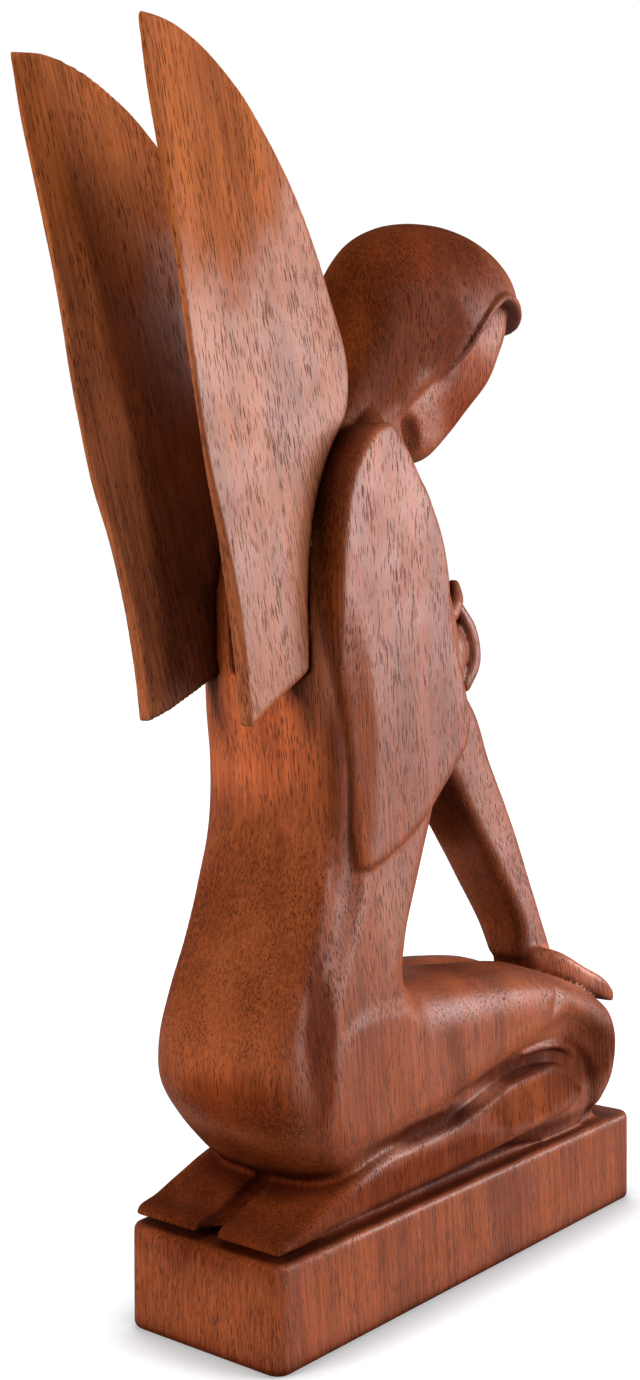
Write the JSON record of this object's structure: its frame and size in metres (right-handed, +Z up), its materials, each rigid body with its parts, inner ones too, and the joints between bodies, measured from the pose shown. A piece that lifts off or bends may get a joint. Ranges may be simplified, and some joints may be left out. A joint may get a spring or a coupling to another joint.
{
  "type": "carved kneeling angel figurine",
  "caption": "Kneeling angel carved in wood with a bowed, hooded, featureless head, one hand on the chest and one on the knee, tall pointed wings, on a block plinth.",
  "frame": {"origin": "centre of the plinth's underside, where the figurine stands", "axes": "+Z up; the figure faces -Y and its wings point back to +Y; +X is the figure's left"},
  "size_m": [0.0506, 0.2027, 0.305],
  "materials": {
    "figure_wood": "oiled reddish-brown hardwood, satin, upright grain",
    "wing_wood": "oiled reddish-brown hardwood, satin, grain along the wing",
    "dowel_wood": "raw pale hardwood dowel"
  },
  "bodies": {
    "root": {"kneeling_figure": "figure_wood", "right_wing": "wing_wood", "left_wing": "wing_wood", "right_wing_dowels": "dowel_wood", "left_wing_dowels": "dowel_wood"}
  },
  "joints": []
}
